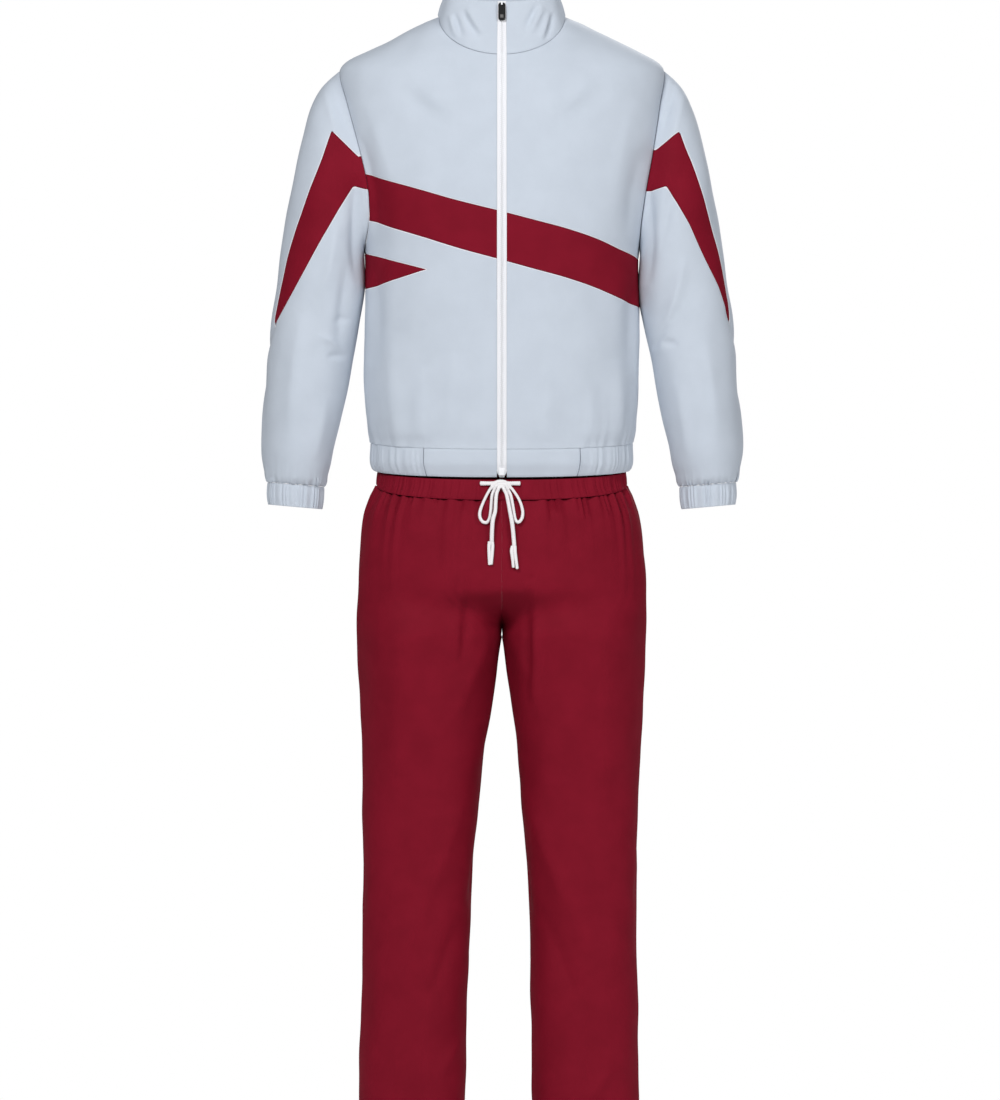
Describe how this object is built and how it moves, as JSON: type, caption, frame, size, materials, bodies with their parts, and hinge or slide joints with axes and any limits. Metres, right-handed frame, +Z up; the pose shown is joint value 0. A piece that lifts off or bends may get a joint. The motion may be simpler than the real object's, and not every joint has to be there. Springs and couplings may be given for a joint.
{
  "type": "tracksuit",
  "caption": "Zip-front tracksuit jacket with a stand collar and a slanting chest band, above its drawstring trousers; hollow and filled out.",
  "frame": {"origin": "between the wearer's shoulders, level with the base of the neck at the sides", "axes": "+Z up the wearer, -Y is the front, -X is the wearer's right"},
  "size_m": [0.7168, 0.2614, 1.753],
  "materials": {
    "light_cloth": "pale blue-grey woven polyester, slightly smooth",
    "dark_cloth": "dark red woven polyester, slightly smooth",
    "tape": "white zip tape with plastic teeth",
    "slider": "white enamel",
    "tab": "black, satin",
    "cord": "white braided cord"
  },
  "bodies": {
    "root": {"back_band": "dark_cloth", "back_lower": "light_cloth", "back_upper": "light_cloth", "collar": "light_cloth", "cuff_left": "light_cloth", "cuff_right": "light_cloth", "drawstring_end_left": "cord", "drawstring_end_right": "cord", "drawstring_knot": "cord", "drawstring_lead_left": "cord", "drawstring_lead_right": "cord", "drawstring_loop_left": "cord", "drawstring_loop_right": "cord", "drawstring_tail_left": "cord", "drawstring_tail_right": "cord", "front_left_band": "dark_cloth", "front_left_lower": "light_cloth", "front_left_upper": "light_cloth", "front_right_band": "dark_cloth", "front_right_lower": "light_cloth", "front_right_tip": "dark_cloth", "front_right_upper": "light_cloth", "hem_back": "light_cloth", "hem_front_left": "light_cloth", "hem_front_right": "light_cloth", "sleeve_left": "light_cloth", "sleeve_right": "light_cloth", "sleeve_spike_left": "dark_cloth", "sleeve_spike_right": "dark_cloth", "trouser_back_left": "dark_cloth", "trouser_back_right": "dark_cloth", "trouser_front_left": "dark_cloth", "trouser_front_right": "dark_cloth", "waistband": "dark_cloth", "zip_slider": "slider", "zip_tape_left": "tape", "zip_tape_right": "tape"},
    "pull_tab": {"zip_pull_tab": "tab"}
  },
  "joints": [
    {"name": "pull_tab_hinge", "type": "hinge", "parent": "root", "child": "pull_tab", "pos_m": [0, -0.08555, 0.02303], "axis": [-1, 0, 0], "range_deg": [0, 150]}
  ]
}
